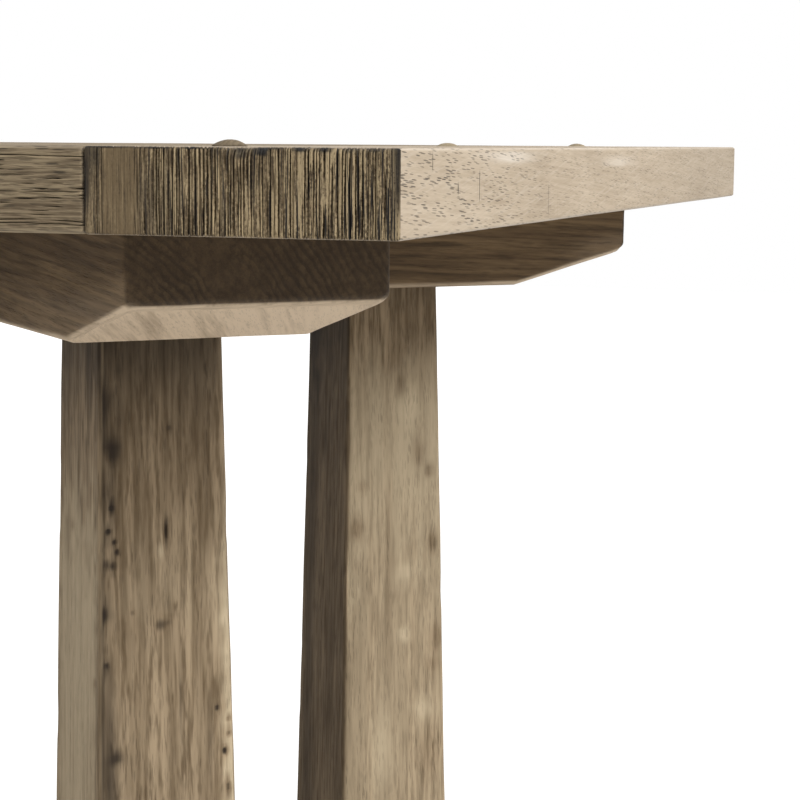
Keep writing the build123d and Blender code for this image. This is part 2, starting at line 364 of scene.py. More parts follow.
def plan_furrows(seed, half, gap, width, depth, margin=3.6 * MM, bold=0.2, cracks=(),
                 crowned=False):
    """Furrows across -half to half, and the lines of the saw grid that follow them. gap,
    width and depth are ranges in mm. A share `bold` of them hardly fades, and each of the
    cracks, at its own place, never does."""
    gap, width, depth = (np.array(limits) * MM for limits in (gap, width, depth))
    rng = np.random.default_rng(seed)
    gaps = rng.uniform(*gap, int(4 * half / (gap[0] + gap[1])) + 1)
    centres = np.cumsum(gaps)
    centres = (centres / (centres[-1] + gaps.mean()) * 2 - 1) * (half - margin)
    widths = rng.uniform(*width, len(centres))
    depths = rng.uniform(*depth, len(centres)) * widths / np.mean(width)
    lasting = np.where(rng.uniform(size=len(centres)) < bold, 0.8, 0.0)
    for place in cracks:
        nearest = np.abs(centres - place).argmin()
        centres[nearest], widths[nearest] = place, CRACK_WIDTH
        depths[nearest], lasting[nearest] = CRACK_DEPTH, 2.0
        apart = np.abs(centres - place) > CRACK_CLEAR
        apart[nearest] = True
        centres, widths, depths, lasting = (
            values[apart] for values in (centres, widths, depths, lasting))
    widths = np.minimum(widths, 0.4 * np.diff(np.append(centres, half)))
    middles = (centres[1:] + centres[:-1]) / 2
    lines = [centres + share * widths for share in (-1, -0.4, 0.4, 1)] + [middles]
    if crowned:
        lines += [(centres[:-1] + widths[:-1] + middles) / 2,
                  (centres[1:] - widths[1:] + middles) / 2]
    return {"centres": centres, "widths": widths, "depths": depths, "lasting": lasting,
            "middles": middles, "rims": np.concatenate([[-half], middles, [half]]),
            "lines": np.concatenate(lines)}


def furrows_at(plan, across, along, seed, run, cover):
    """How deep a place lies, how far from 0 to 1 it is down a furrow, and how far from the
    crown of its ridge. A furrow shows in stretches about `run` long, more with cover."""
    which = np.searchsorted(plan["middles"], across)
    centre = plan["centres"][which]
    off = np.abs(across - centre)
    shape = np.clip((1.0 - off / plan["widths"][which]) / 0.6, 0, 1)
    start = -cover - plan["lasting"][which]
    fade = step(noise(along / run, which * 5.71, seed=seed), start, start + 0.5)
    room = np.where(across > centre, plan["rims"][which + 1] - centre,
                    centre - plan["rims"][which])
    fall = (1 - np.clip(off / room, 0, 1)) ** 2 * (0.3 + 0.7 * fade)
    return shape * fade * plan["depths"][which], shape * fade, fall


# %% [markdown]
# ## Weathering a blank
# First the arrises are rolled over, with a radius that wanders. Then each face sinks by
# its furrows and by a gentle unevenness. Nothing is ever added outside the blank, so the
# timber stays inside the CAD model. What was done is kept on the mesh for the material:
# `furrow`, `worn` (the arrises) and `end_grain` here, and for each kind of timber later a
# number that is dark above 0 and bleached below, which holds real stains together with
# painted shade and painted highlights, and `combed`, where the weather bit.


# %% Rolling the arrises
def roll_arrises(places, half, radius):
    """The places on a box with round arrises, and the way that each one faces."""
    half = np.asarray(half)
    inner_half = half - radius[:, None]
    inner = np.clip(places, -inner_half, inner_half)
    out = places - inner
    length = np.maximum(np.linalg.norm(out, axis=1), 1e-9)
    normal = out / length[:, None]
    return inner + normal * radius[:, None], normal


def keep(piece, name, values):
    """Keeps a number for each vertex, or a vector, as a mesh attribute."""
    kind, field = ("FLOAT_VECTOR", "vector") if values.ndim == 2 else ("FLOAT", "value")
    attribute = piece.data.attributes.get(name) or piece.data.attributes.new(name, kind, "POINT")
    attribute.data.foreach_set(field, values.astype(np.float32).ravel())


def fade_wear(piece, share):
    """Takes the wear of the arrises down to a share, one number or one for each vertex."""
    worn = np.empty(len(piece.data.vertices), np.float32)
    piece.data.attributes["worn"].data.foreach_get("value", worn)
    keep(piece, "worn", worn * share)


# %% Sinking the faces
def weather(blank, half, seed, arris, ends=None, wide=None, narrow=None, uneven=0.12,
            wiggle=0.0, chips=0.5, end_rough=0.12):
    """arris(places) gives the radius in millimetres. ends, wide and narrow are (plan, run,
    cover, scale, crown) for the faces across x, z and y, and may end with a vigour.
    wiggle bends the furrows of the ends, chips tears the arrises and end_rough the ends."""
    start = places_of(blank)
    x, y, z = start.T
    ragged = noise(x / 0.021, y / 0.013, z / 0.013, seed=seed)
    torn = step(noise(x / 0.017, y / 0.011, z / 0.05, seed=seed + 1), 0.35, 0.8) * chips
    radius = arris(start) * MM * (1.16 + 0.16 * ragged + 0.9 * torn)
    places, normal = roll_arrises(start, half, radius)
    share = normal ** 2
    long_faces = 1 - share[:, 0]
    swell = 0.5 + 0.5 * noise(x / 0.05, y / 0.02, z / 0.02, seed=seed + 2)
    fuzz = 0.5 + 0.5 * noise(x / 0.012, y / 0.0011, z / 0.0011, seed=seed + 3)
    grit = 0.5 + 0.5 * noise(x / 0.002, y / 0.0009, z / 0.004, seed=seed + 4)
    crumbs = 0.5 + 0.5 * noise(x / 0.0016, y / 0.0012, z / 0.0012, seed=seed + 5)
    edge = np.clip(2.2 * (1 - share.max(axis=1)), 0, 1)
    depth = MM * (0.05 + uneven * swell + 0.05 * fuzz * long_faces
                  + end_rough * grit * share[:, 0] + 0.7 * torn * edge * crumbs)
    furrow = np.zeros(len(x))
    for rough, side, across, along in ((ends, 0, y, z), (wide, 2, y, x), (narrow, 1, z, x)):
        if rough is None:
            continue
        plan, run, cover, scale, crown, *more = rough
        cut, down, fall = furrows_at(plan, across, along, seed + 11 * (side + 1), run, cover)
        here = share[:, side] * (more[0](start) if more else 1.0)
        depth = depth + (cut * scale + fall * crown * MM) * here
        furrow = furrow + down * np.clip(scale * 1.4, 0, 1) * here
    places = places - normal * depth[:, None]
    if wiggle:
        near_end = 1 - step(half[0] - np.abs(x), 0, 0.014)
        away = step(half[1] - np.abs(y), 0.5 * MM, 4 * MM)
        side = noise(y / 0.009, z / 0.022, np.sign(x), seed=seed + 6) * 0.45 + noise(
            y / 0.003, z / 0.0060, np.sign(x), seed=seed + 7) * 0.14
        places[:, 1] += side * wiggle * MM * near_end * away
    move_to(blank, places)
    keep(blank, "furrow", np.clip(furrow, 0, 1))
    keep(blank, "worn", edge * np.clip(1.25 - 1.6 * share[:, 0], 0, 1))
    keep(blank, "end_grain", step(share[:, 0], 0.04, 0.3))
    return start, normal


# %% [markdown]
# ## Fitting a timber to its joints
# The CAD solid holds the tongues, tenons, mortises, laps and bores. The weathered blank
# lies just inside the solid's outer faces and runs past its joints, so what the two have
# in common is the weathered timber with its joinery cut. A Boolean gives exactly that.
# A breadboard's arrises are finer than the solid's plain rounding, so its pattern is first
# squared up and let out by a millimetre, which leaves only the joints to cut.

# %% Squaring up a pattern
ROUNDED, LET_OUT = 3.2 * MM, 1.0 * MM


def square_up(pattern, place, half):
    """Moves what lies within the rounding out to a larger, sharp box of half sizes half."""
    back = np.array(place.inverted())
    local = places_of(pattern) @ back[:3, :3].T + back[:3, 3]
    half = np.asarray(half)
    outer = np.abs(local) > half - ROUNDED
    local = np.where(outer, np.sign(local) * (half + LET_OUT), local)
    turn = np.array(place)
    move_to(pattern, local @ turn[:3, :3].T + turn[:3, 3])


# %% Intersecting with the CAD solid
WELD, SMOOTH_BELOW = 1e-6, math.radians(35)


def fit_to_solid(blank, node, square=None):
    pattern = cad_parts[node].copy()
    pattern.data = pattern.data.copy()
    pattern.parent = None
    bpy.context.collection.objects.link(pattern)
    pattern.hide_viewport = pattern.hide_render = False
    if square:
        square_up(pattern, *square)
    pick(pattern)
    bpy.ops.object.mode_set(mode="EDIT")
    bpy.ops.mesh.select_all(action="SELECT")
    bpy.ops.mesh.remove_doubles(threshold=WELD)
    bpy.ops.object.mode_set(mode="OBJECT")
    pattern.data.materials.clear()
    pick(blank)
    joint = blank.modifiers.new("joints", "BOOLEAN")
    joint.object, joint.operation, joint.solver = pattern, "INTERSECT", "MANIFOLD"
    bpy.ops.object.modifier_apply(modifier="joints")
    bpy.data.objects.remove(pattern)
    bpy.ops.object.shade_smooth_by_angle(angle=SMOOTH_BELOW)


# %% Placing a timber and writing down its grain
NEXT_LOG = 0.9    # metres between one timber and the next along the noises of the log
timbers = {}


def stand_for(piece, node, material):
    """Gives a finished piece its material and slot, and the place of a CAD node."""
    piece.data.materials.clear()
    piece.data.materials.append(material)
    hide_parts(node)
    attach(piece, "root")


def place_timber(blank, node, place, pith, material, slope=0.0, square=None, level=None):
    """place turns the blank's x, y and z into the table's. pith is where the heart of the
    tree lies across the timber, from its middle, so that rings can be drawn round it, and
    slope is how far the grain leans. level puts a planed-off face back, so that the grain
    runs along it."""
    pick(blank)
    blank.matrix_world = place
    bpy.ops.object.transform_apply(location=True, rotation=True, scale=True)
    fit_to_solid(blank, node, square and (place, square))
    back = np.array(place.inverted())
    local = places_of(blank) @ back[:3, :3].T + back[:3, 3]
    if level:
        level(local)
    along = local[:, 0] + slope * local[:, 2] + NEXT_LOG * len(timbers)
    up = local[:, 2] - slope * local[:, 0]
    keep(blank, "grain", np.column_stack([along, local[:, 1] - pith[0], up - pith[1]]))
    stand_for(blank, node, material)
    timbers[node] = blank
    faces = sum(len(p.vertices) - 2 for p in blank.data.polygons)
    print(blank.name, "triangles:", faces)


# %% [markdown]
# ## Oak
# Oak shows broad streaks, fine fibres, growth rings and, in the early wood of each ring,
# pores that a long face cuts into short dark dashes. All of them are noises in the log's
# own coordinates, which the mesh keeps as `grain`: x runs up the tree, and y and z start
# at its heart. So a ring that leaves one face goes on in the next.


# %% What a log holds at each place
def new_material(name):
    material = bpy.data.materials.new(name)
    material.use_nodes = True
    return material, material.node_tree, material.node_tree.nodes["Principled BSDF"]


def kept(tree, name, output="Fac"):
    return add_node(tree, "Attribute", {"attribute_name": name}, output=output)


class Log:
    """The noises of a log, as wires. coarse widens the streaks, ring is a year's growth in
    millimetres, and wavy bends the rings."""
    def __init__(self, place, coarse, ring, wavy):
        self.place = place
        self.broad = place.noise(7 / coarse, 190 / coarse, 190 / coarse, 4, 0.6)
        self.fibre = place.noise(28, 900 / coarse, 900 / coarse, 3, 0.55)
        self.fine = place.noise(120, 3200, 3200, 2, 0.6)
        self.cloud = place.noise(9, 24, 24, 3, 0.6)
        from_heart = place.node("VectorMath", {"operation": "LENGTH"},
                                {0: place.scaled(0, 1, 1)}, "Value")
        wander = place.noise(5, 60, 60, 3, 0.6)
        year = (from_heart / (ring * MM) + wander * wavy).maths("FRACT")
        self.early = (year.between(0.0, 0.12) * (1 - year.between(0.3, 0.62))
                      * self.cloud.between(0.3, 0.6))
        dash = place.node("TexVoronoi", {"feature": "F1"}, {
            "Vector": place.scaled(125, 1500, 1500), "Scale": 1.0, "Randomness": 1.0}, "Distance")
        some = place.noise(24, 240, 240, 2, 0.5).between(0.37, 0.52)
        self.pore = (1 - dash.between(0.25, 0.38)) * (self.early * 0.4 + 0.6) * some


# %% Colours of a long face
Tones = namedtuple("Tones", "pale middle dark hollow bleached")
RAY_LEAN = 0.22


def long_face(log, tones, streaks, rings, blotch, flecks):
    """Streaks first, then fibres, rings, clouds, flecks and a fine pale fleece over them."""
    fleck = log.place.noise(55, 430, 430, 2, 0.6)
    return layered(
        tones.middle,
        (tones.pale, ((log.broad - 0.5) * (1.7 * streaks) + 0.5).between(0.1, 0.9)),
        (tones.dark, ((log.fibre - 0.5) * 2.2 + 0.3).between(0, 1) * (0.5 * streaks)),
        (tones.dark, log.early * rings),
        (tones.dark, log.cloud.between(0.45, 0.75) * blotch),
        (tones.dark, fleck.between(0.5, 0.72) * flecks),
        (tones.pale, log.fine.between(0.55, 0.8) * 0.3))


def torn_edge(log, tones, colour, combed):
    """Torn fibres on the long edge of a board, and the grit that also lifts them."""
    grit = log.place.noise(75, 1500, 1500, 3, 0.62)
    return layered(colour, (tones.dark, combed * (1 - grit.between(0.36, 0.54)) * 0.8),
                   (tones.pale, combed * grit.between(0.55, 0.7) * 0.7)), grit


def ray_hatch(log, tones, colour, rays):
    """Pale rays that lean across the face, with fine scratches over them."""
    part = log.place.node("SeparateXYZ", None, {0: log.place})
    x, y, z = (Wire(part.tree, part.socket.node.outputs[n]) for n in range(3))
    leaning = part.node("CombineXYZ", None, {0: x, 1: y, 2: z - x * RAY_LEAN})
    hatch = leaning.noise(45, 60, 1100, 2, 0.55)
    scratch = log.place.noise(420, 14, 14, 1, 0.5).between(0.7, 0.78)
    return layered(colour, (tones.bleached, hatch.between(0.52, 0.7) * rays),
                   (tones.dark, hatch.between(0.3, 0.46) * -0.45 * rays + 0.45 * rays),
                   (tones.dark, scratch * log.cloud.between(0.45, 0.6) * 0.3))


# %% End grain, sawn or combed by the weather
def sawn_end(log, tones, colour, end_dark, end_rings):
    return layered(colour, (tones.dark, end_dark), (tones.hollow, log.early * end_rings),
                   (tones.pale, log.fine.between(0.5, 0.8) * 0.2))


def combed_end(log, tones, combed, low, middle, high):
    """Upright ridges in three tones, with the ridges' height and the crevices between. The
    pale threads along the ridges are painted highlights, and the thin dark crevices are
    painted shade.
    """
    comb = log.place.noise(6, 1150, 32, 2, 0.55)
    hair = log.place.noise(6, 3000, 90, 2, 0.6)
    crumb = log.place.noise(300, 1500, 900, 3, 0.6)
    patch = log.place.noise(6, 70, 45, 2, 0.5)
    thread = log.place.noise(6, 1650, 34, 1, 0.5, 0.25)
    ridge = (comb - 0.5) * 1.4 + (hair - 0.5) * 2.0 + (crumb - 0.5) * 1.3
    lifted = (combed - 1).between(0.0, 0.5)
    ridge = (ridge * (combed * 0.75 + 0.25) + (patch - 0.5) * 0.6 + lifted * 0.16
             + 0.52).between(0.05, 0.95)
    crevice = (1 - thread.between(0.37, 0.42)) * combed
    return layered(low, (middle, ridge.between(0.0, 0.5)),
                   (high, ridge.between(0.55, 1.0) * (combed * 0.8 + 0.2)),
                   # painted highlights along the ridges
                   (high, thread.between(0.57, 0.66) * combed * 0.7),
                   # painted shade in the fine crevices
                   (tones.hollow, crevice * 0.85)), ridge, crevice


# %% The oak material
def oak(name, tones, ring=2.6, rings=0.35, pores=0.7, streaks=1.0, coarse=1.0, flecks=0.25,
        rays=0.0, end_dark=0.62, end_rings=0.3, combed_ends=None, torn_edges=False, wavy=5.5,
        gloss=0.62, blotch=0.35, in_object_space=False):
    """tones holds the five colours of Tones. The rest says how strongly each mark shows."""
    material, tree, shader = new_material(name)
    tones = Tones(*(tone(*each) for each in tones))
    log = Log(add_node(tree, "TexCoord", output="Object") if in_object_space
              else kept(tree, "grain", "Vector"), coarse, ring, wavy)
    furrow, worn, end, stain_and_painted_light, combed = (
        kept(tree, kind) for kind in ("furrow", "worn", "end_grain", "stain_and_painted_light", "combed"))
    long_grain, pore = 1 - end, log.pore
    colour = long_face(log, tones, streaks, rings, blotch, flecks)
    if torn_edges:
        colour, grit = torn_edge(log, tones, colour, combed)
    if rays:
        pore = pore * (combed * 0.75 + 0.25)
        colour = ray_hatch(log, tones, colour, rays)
    if combed_ends:
        end_tone, ridge, crevice = combed_end(
            log, tones, combed, *(tone(*each) for each in combed_ends))
    else:
        end_tone = sawn_end(log, tones, colour, end_dark, end_rings)
    grey = ((log.broad - 0.5) * 2.4 + (log.fibre - 0.5) * 1.2 + 0.25).between(0, 1)
    faded = blend(tones.bleached, tones.middle, grey * 0.5)
    colour = layered(
        colour, (end_tone, end),
        (faded, worn * (0.35 + 0.65 * log.cloud) * (0.8 * long_grain + 0.25)),
        (faded, (stain_and_painted_light * -1).between(0, 1)), (tones.hollow, stain_and_painted_light.between(0, 1)),
        # The furrows are darkened both for the dirt in them and as painted shade in their depths.
        (tones.hollow, pore * long_grain * pores), (tones.hollow, furrow ** 0.75 * 0.92))
    tree.links.new(colour.socket, shader.inputs["Base Color"])
    rough = gloss + log.fibre * 0.18 + furrow * 0.15
    tree.links.new(rough.socket, shader.inputs["Roughness"])
    height = log.fibre * 0.45 + log.fine * 0.3 - pore * 0.8 - log.early * (0.5 * rings)
    if combed_ends:
        height = height * long_grain + end * (ridge * (combed * 1.3 + 0.3) - crevice * 0.8)
    if torn_edges:
        height = height + combed * grit * 1.6
    bump = height.node("Bump", None, {"Height": height, "Strength": 0.55, "Distance": 0.35 * MM})
    tree.links.new(bump.socket, shader.inputs["Normal"])
    shader.inputs["Specular IOR Level"].default_value = 0.32
    return material


# %% The finishes of this table
top_oak = oak(
    "weathered_top_oak",
    ((168, 150, 120), (138, 121, 96), (90, 75, 56), (26, 22, 17), (196, 182, 158)),
    torn_edges=True, gloss=0.54)
breadboard_oak = oak(
    "brushed_breadboard_oak",
    ((204, 187, 164), (190, 172, 148), (150, 131, 107), (24, 20, 16), (222, 210, 194)),
    ring=3.2, rings=0.14, pores=0.97, streaks=0.5, rays=0.2, blotch=0.3, gloss=0.56,
    combed_ends=((69, 56, 39), (117, 99, 72), (184, 163, 127)))
bearer_oak = oak(
    "dark_bearer_oak",
    ((132, 109, 79), (105, 84, 59), (64, 50, 34), (28, 20, 11), (220, 198, 170)),
    ring=2.9, rings=0.4, pores=0.22, streaks=1.8, coarse=1.6, flecks=0.45, end_rings=0.34,
    wavy=2.6)
leg_oak = oak(
    "streaked_leg_oak",
    ((170, 149, 120), (139, 120, 94), (94, 76, 52), (40, 29, 17), (207, 189, 158)),
    ring=3.4, rings=0.2, pores=0.3, streaks=2.0, coarse=1.8, flecks=0.75, blotch=0.6)
peg_oak = oak(
    "peg_oak", ((150, 134, 108), (124, 109, 86), (88, 74, 56), (34, 28, 21), (176, 160, 132)),
    ring=1.9, rings=0.3, end_dark=0.3)
inner_oak = oak(
    "inner_oak",
    ((196, 174, 138), (178, 154, 118), (132, 108, 76), (40, 32, 24), (210, 196, 170)),
    ring=2.4, pores=0.4, in_object_space=True)
print("oak finishes:", [m.name for m in bpy.data.materials])

# %% [markdown]
# ## Breadboard ends
# A breadboard end is a board laid across the ends of the others to keep them flat. Its
# short ends are end grain, brushed and weathered into deep upright furrows, and its long
# outer edge is a pale, smooth long-grain face.

# %% How an end is worn
BREADBOARD_HALF = (305 * MM, 52.5 * MM, 14 * MM)
BREADBOARD_X, TOP_MIDDLE_Z = 0.2525, 0.546


def window(value, low, high, soft=1.5 * MM):
    """1 from low to high and 0 outside, with soft ends."""
    return step(value, low - soft, low + soft) * (1 - step(value, high - soft, high + soft))


def breadboard_arris(front):
    """The top arris of the front end is torn out over a finger's width and rounded beside
    it. The seam to the boards keeps the finest arris."""
    def radius(places):
        x, y, z = places.T
        near = step(x * front, 0.28, 0.3) * step(z, 0, 0.004)
        torn = window(y, -9 * MM, 6.5 * MM) * (0.55 + 0.6 * noise(y / (2.3 * MM), seed=8))
        corner = step(-y, 0.035, 0.05) * step(np.abs(x), 0.285, 0.3) * step(
            0.0139 - np.abs(z), 0, 0.001)
        return 1.1 - 0.35 * step(y, 0.03, 0.045) - 0.45 * corner + near * (
            2.1 * np.maximum(torn, 0) + 0.7 * window(y, -0.048, -0.018))
    return radius


def end_vigour(front):
    """How deep the furrows bite across an end. A strip near the seam stays calm in front."""
    def vigour(places):
        x, y, z = places.T
        calm = window(y, 34 * MM, 45.5 * MM) * (np.sign(x) == front)
        rough = 0.8 + 0.35 * noise(y / 0.011, z / 0.02, np.sign(x) * 1.7, seed=5)
        return rough * (1 - 0.9 * calm) * (1.1 - 0.5 * step(y, 0.0, 0.05))
    return vigour


# %% Marks of the outer edge
# Scratches and worn patches: distance from the table's middle towards the front, lowest
# and highest z, half width along the edge, all in mm, and darkness.
SIDE_MARKS = ((273, 6.8, 12.4, 0.5, 0.7), (245, -1, 2.6, 0.6, 0.9), (220, -4, 6.2, 0.5, 0.75),
              (126, -11.4, -0.2, 0.7, 0.5), (182, 8.6, 12.8, 30, -0.9), (-15, 5.5, 11, 26, -0.8),
              (95, 10, 12.5, 5, -0.7), (170, 12.6, 13.4, 90, 0.22), (-22, -7, 4, 30, 0.12))
SIDE_LINES = [(mark[0] + off) * MM for mark in SIDE_MARKS[:4] for off in (-0.8, 0, 0.8)]


def side_stain(front, start, normal):
    x, y, z = start.T
    stain_and_painted_light = 0.26 * step(-x * front, -0.1, 0.25)
    for out, low, high, wide, dark in SIDE_MARKS:
        torn = 1 + 0.8 * noise(x / 0.014, z / 0.0025, seed=33) * (wide > 2)
        off = np.abs(x * front - out * MM) / (wide * MM) * torn
        stain_and_painted_light = stain_and_painted_light + dark * np.exp(-off ** 2) * window(z, low * MM, high * MM, 1.2 * MM)
    return stain_and_painted_light * normal[:, 1] ** 2 * (y < 0) + 0.17 * normal[:, 2] ** 2


# %% Stains and painted shade of an end
SPLITS = (16.5 * MM, 11.5 * MM)
SPLIT_REACH = 0.34 * MM


def end_stain_and_shade(front, start, normal):
    """Dark corners, pits, splits and smudges by the seam, and painted shade on the rim and
    on the lip under the top arris. The splits are darkened for dirt and as painted shade.
    """
    x, y, z = start.T
    near = 0.45 + 0.55 * (np.sign(x) == front)
    patchy = 0.65 + 0.5 * noise(y / 0.004, z / 0.012, np.sign(x), seed=9)
    corner = np.maximum(1.35 * step(-y, 48 * MM, 50.2 * MM), 1.25 * step(y, 45 * MM, 47 * MM))
    lip_shade = window(y, -47 * MM, -16 * MM, 3 * MM) * step(z, 11.2 * MM, 12.6 * MM)
    smudge = step(noise(y / 0.008, z / 0.02, np.sign(x), seed=19), 0.1, 0.7) * step(y, 0.005, 0.03)
    rim = window(normal[:, 0] ** 2, 0.04, 0.93, 0.03) * (z > 0)
    pits = step(noise(y / 0.0024, z / 0.0016, np.sign(x), seed=29), -0.1, 0.25) * window(
        y, -10 * MM, 10 * MM) * step(z, 10.2 * MM, 11.6 * MM)
    split = np.max([np.exp(-((y - place) / SPLIT_REACH) ** 2) for place in SPLITS], axis=0)
    # The rim and the lip below it are painted shade on the rounded top arris; the split lines are
    # dirt and painted shade in the cracks.
    dark = np.maximum.reduce([0.62 * corner, 0.5 * lip_shade, 0.4 * smudge, 0.85 * rim, 0.95 * pits,
                              0.95 * split * (normal[:, 0] ** 2 > 0.3) / patchy])
    return dark * near * patchy * step(normal[:, 0] ** 2, 0.02, 0.12)


# %% Breadboards
def make_breadboard(node, turn_z, centre_x, front, seed):
    plan = plan_furrows(seed, BREADBOARD_HALF[1], (0.8, 2.0), (0.15, 0.36), (0.8, 1.7),
                        bold=0.4, cracks=SPLITS, crowned=True)
    blank = sawn_blank(
        node, BREADBOARD_HALF, ruled(BREADBOARD_HALF[0], 10, np.array(SIDE_LINES) * front),
        ruled(BREADBOARD_HALF[1], plan["lines"]), ruled(BREADBOARD_HALF[2], 30))
    start, normal = weather(
        blank, BREADBOARD_HALF, seed, breadboard_arris(front), uneven=0.14, wiggle=0.55, chips=0.6,
        ends=(plan, 0.012, 0.35, 1.0, 0.34, end_vigour(front)), wide=(plan, 0.05, 0.1, 0.14, 0.0))
    keep(blank, "stain_and_painted_light", end_stain_and_shade(front, start, normal) + side_stain(front, start, normal))
    fade_wear(blank, 1 - 0.8 * step(normal[:, 0] ** 2, 0.1, 0.3))
    calm = window(start[:, 1], 33 * MM, 46 * MM) * (np.sign(start[:, 0]) == front)
    combed = (1 - 0.8 * calm - 0.35 * step(start[:, 1], 0.02, 0.04) * (1 - calm)
              + 0.5 * step(-start[:, 1], 0.012, 0.024))
    open_pores = 0.12 + 0.88 * step(start[:, 0] * front, 0.13, 0.27)
    at_end = step(normal[:, 0] ** 2, 0.1, 0.5)
    keep(blank, "combed", at_end * combed + (1 - at_end) * open_pores)
    place = Matrix.Translation((centre_x, 0, TOP_MIDDLE_Z)) @ Matrix.Rotation(turn_z, 4, "Z")
    place_timber(blank, node, place, (0.01, -0.42), breadboard_oak, 0.06 * front,
                 BREADBOARD_HALF)


make_breadboard("breadboard_right", math.pi / 2, BREADBOARD_X, -1, 21)
make_breadboard("breadboard_left", -math.pi / 2, -BREADBOARD_X, 1, 22)

# %% [markdown]
# ## Top boards
# Five boards of uneven width lie side by side with their grain across the table. The front
# and back ones show a long edge that has opened into level drying cracks. A gentle groove
# marks every seam.

# %% Boards
BOARD_EDGES = [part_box(f"top_board_{n}")[0].y for n in (1, 2, 3, 4, 5)] + [
    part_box("top_board_5")[1].y]
BOARD_REACH, BOARD_HALF_THICK = 262 * MM, 14 * MM
SEAM_X, SEAM_REACH, SEAM_DEPTH = 200 * MM, 0.45 * MM, 0.55 * MM
BOARD_TONES = (0.02, -0.08, 0.09, -0.03, 0.05)


def make_board(number, seed, pith):
    node = f"top_board_{number}"
    low, high = BOARD_EDGES[number - 1], BOARD_EDGES[number]
    half = (BOARD_REACH, (high - low) / 2, BOARD_HALF_THICK)
    outer = {1: -1, 5: 1}.get(number, 0)
    wide = plan_furrows(seed, half[1], (2.0, 4.2), (0.25, 0.6), (0.3, 0.9))
    edge = plan_furrows(seed + 50, half[2], (1.1, 2.3), (0.12, 0.28), (0.5, 1.1),
                        margin=2.0 * MM, bold=0.1)
    seams = [side * (SEAM_X + off * MM) for side in (-1, 1)
             for off in (-1.2, -0.6, -0.25, 0, 0.3)]

    def arris(places):
        on_outer = step(places[:, 1] * outer, 0.5 * half[1], 0.8 * half[1])
        return 0.85 + 0.8 * on_outer

    blank = sawn_blank(
        node, half, ruled(half[0], 200 if outer else 60, seams), ruled(half[1], wide["lines"]),
        ruled(half[2], edge["lines"] if outer else 10))
    start, normal = weather(
        blank, half, seed, arris, uneven=0.14, chips=0.5, wide=(wide, 0.045, 0.0, 0.28, 0.1),
        narrow=(edge, 0.005, -0.16, 1.0, 0.35) if outer else None)
    places = places_of(blank)
    x, y, z = start.T
    sway = noise(x / 0.010, z / 0.005, seed=seed + 8) * 0.3 + noise(
        x / 0.0035, z / 0.003, seed=seed + 9) * 0.12
    places[:, 2] += sway * MM * step(normal[:, 1] ** 2, 0.5, 0.9) * (y * outer > 0)
    seam = np.exp(-(((np.abs(x) - SEAM_X) / SEAM_REACH) ** 2))
    move_to(blank, places - normal * (SEAM_DEPTH * seam)[:, None])
    joint = step(np.abs(y), half[1] - 0.9 * MM, half[1] - 0.2 * MM) * (y * outer <= 0)
    keep(blank, "stain_and_painted_light", np.maximum(seam * 0.7, 0.6 * joint)
         + BOARD_TONES[number - 1] * normal[:, 2] ** 2)
    keep(blank, "combed", step(normal[:, 1] ** 2, 0.1, 0.5) * (y * outer > 0))
    fade_wear(blank, 0.45)
    place = Matrix.Translation((0, (low + high) / 2, TOP_MIDDLE_Z))
    place_timber(blank, node, place, pith, top_oak)


BOARD_PITHS = ((0.02, -0.09), (-0.03, -0.12), (0.01, -0.16), (0.05, -0.10), (-0.02, -0.09))
for number, pith in enumerate(BOARD_PITHS, 1):
    make_board(number, 30 + number, pith)

# %% [markdown]
# ## Bearers
# Two bearers lie corner to corner and are halved where they cross. The underside of each
# end is planed to a long bevel that thins it towards the corner of the top.

# %% The bevel
BEARER_HALF = (326.7 * MM, 50 * MM, 22 * MM)
BEARER_MIDDLE_Z = 0.51
BEVEL_START, BEVEL_RISE = 259.7 * MM, 17 * MM
BEVEL_SKEW = 0.5


def along_bevel(x):
    """0 up to where the bevel starts, and 1 at the bearer's end."""
    return np.clip((np.abs(x) - BEVEL_START) / (BEARER_HALF[0] - BEVEL_START), 0, 1)


def bevelled(x, z, power=1):
    """z after planing the bevel, or with power -1, z as it was before."""
    top = BEARER_HALF[2]
    return top - (top - z) * ((2 * top - BEVEL_RISE * along_bevel(x)) / (2 * top)) ** power


def bearer_arris(places):
    """Wider below towards the ends, because planing the bevel flattens it again."""
    x, _, z = places.T
    return 3.2 + 2.0 * along_bevel(x) * step(-z, 15 * MM, 20 * MM)


def lay_flat(local):
    """Puts the bevel back, and turns the grain on it a little across the bearer."""
    flat = bevelled(local[:, 0], local[:, 2], -1)
    on_bevel = step(-flat, 20.6 * MM, 21.4 * MM)
    local[:, 2] += (flat - local[:, 2]) * on_bevel
    local[:, 1] += BEVEL_SKEW * np.maximum(np.abs(local[:, 0]) - BEVEL_START, 0) * on_bevel


